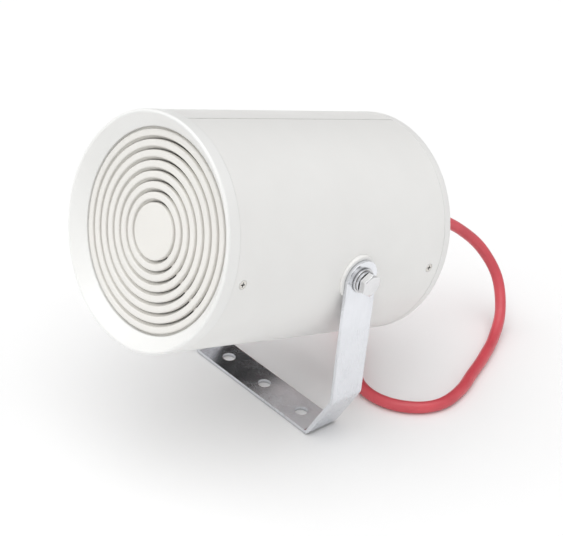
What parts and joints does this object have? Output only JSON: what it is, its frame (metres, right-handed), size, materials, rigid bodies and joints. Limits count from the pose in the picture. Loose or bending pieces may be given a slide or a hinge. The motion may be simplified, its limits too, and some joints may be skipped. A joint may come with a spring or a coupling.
{
  "type": "cylindrical alarm sounder",
  "caption": "Cylindrical alarm sounder with a grille of concentric rings, tilting in a zinc U-bracket with a row of mounting holes, and a red cable from its rear gland.",
  "frame": {"origin": "centre of the middle mounting hole, on the underside of the bracket foot", "axes": "+X along the tilt pivot, +Y towards the rear cover and cable gland, +Z from the mounting surface up to the pivot"},
  "size_m": [0.255, 0.332, 0.2254],
  "materials": {
    "bracket_zinc": "bright zinc plate",
    "hardware_zinc": "bright zinc plate",
    "screw_zinc": "zinc plate",
    "plain_steel": "plain pressed steel",
    "lamination_steel": "stacked laminations",
    "housing_paint": "white powder coat, satin",
    "bezel_plastic": "white moulded plastic, satin",
    "cover_plastic": "white moulded plastic, satin",
    "grille_plastic": "warm white moulded plastic, satin",
    "spacer_plastic": "white moulded plastic",
    "gland_plastic": "pale grey nylon",
    "black_cloth": "open acoustic cloth",
    "spider_cloth": "resin-stiffened cloth",
    "black_rubber": "matt rubber",
    "black_steel": "black paint",
    "black_paper": "pressed paper",
    "ferrite": "ground ferrite",
    "copper_wire": "enamelled copper wire",
    "brass_parts": "tinned brass",
    "brown_board": "resin-bonded board",
    "ceramic": "glazed ceramic",
    "capacitor_sleeve": "shrink sleeve",
    "core_sleeve": "glass-fibre sleeve",
    "red_sheath": "red sheath, satin"
  },
  "bodies": {
    "bracket": {"u_bracket": "bracket_zinc", "cable": "red_sheath", "cable_coil": "red_sheath"},
    "housing": {"pivot_spacers": "spacer_plastic", "flat_washers": "hardware_zinc", "spring_washers": "hardware_zinc", "pivot_bolts": "hardware_zinc", "backing_plates": "plain_steel", "pivot_nuts": "hardware_zinc", "housing_tube": "housing_paint", "front_bezel": "bezel_plastic", "rear_cover": "cover_plastic", "front_screws": "screw_zinc", "rear_screws": "screw_zinc", "grille": "grille_plastic", "grille_cloth": "black_cloth", "driver_gasket": "black_rubber", "driver_basket": "black_steel", "driver_surround": "black_rubber", "driver_spider": "spider_cloth", "driver_top_plate": "plain_steel", "driver_magnet": "ferrite", "driver_yoke": "plain_steel", "driver_screws": "screw_zinc", "driver_tag_board": "brown_board", "driver_lugs": "brass_parts", "chassis_plate": "plain_steel", "chassis_screws": "screw_zinc", "transformer_core": "lamination_steel", "transformer_winding": "copper_wire", "transformer_clamp": "plain_steel", "transformer_screws": "screw_zinc", "terminal_block": "ceramic", "terminal_screws": "brass_parts", "capacitor": "capacitor_sleeve", "thermal_fuse": "ceramic", "speaker_wires": "red_sheath", "gland_washer": "black_rubber", "gland_body": "gland_plastic", "gland_locknut": "gland_plastic", "gland_seal": "black_rubber", "gland_nut": "gland_plastic", "clamped_cable": "red_sheath", "cable_cores": "core_sleeve"},
    "cone": {"driver_cone": "black_paper", "driver_dust_cap": "black_paper", "driver_voice_coil": "copper_wire"}
  },
  "joints": [
    {"name": "housing_tilt", "type": "hinge", "parent": "bracket", "child": "housing", "pos_m": [0, 0, 0.1249], "axis": [1, 0, 0], "range_deg": [-45, 45]},
    {"name": "cone_travel", "type": "slide", "parent": "housing", "child": "cone", "axis": [0, 0.9659, -0.2588], "range_m": [-0.001, 0.001], "stiffness_N_per_m": 1500}
  ]
}
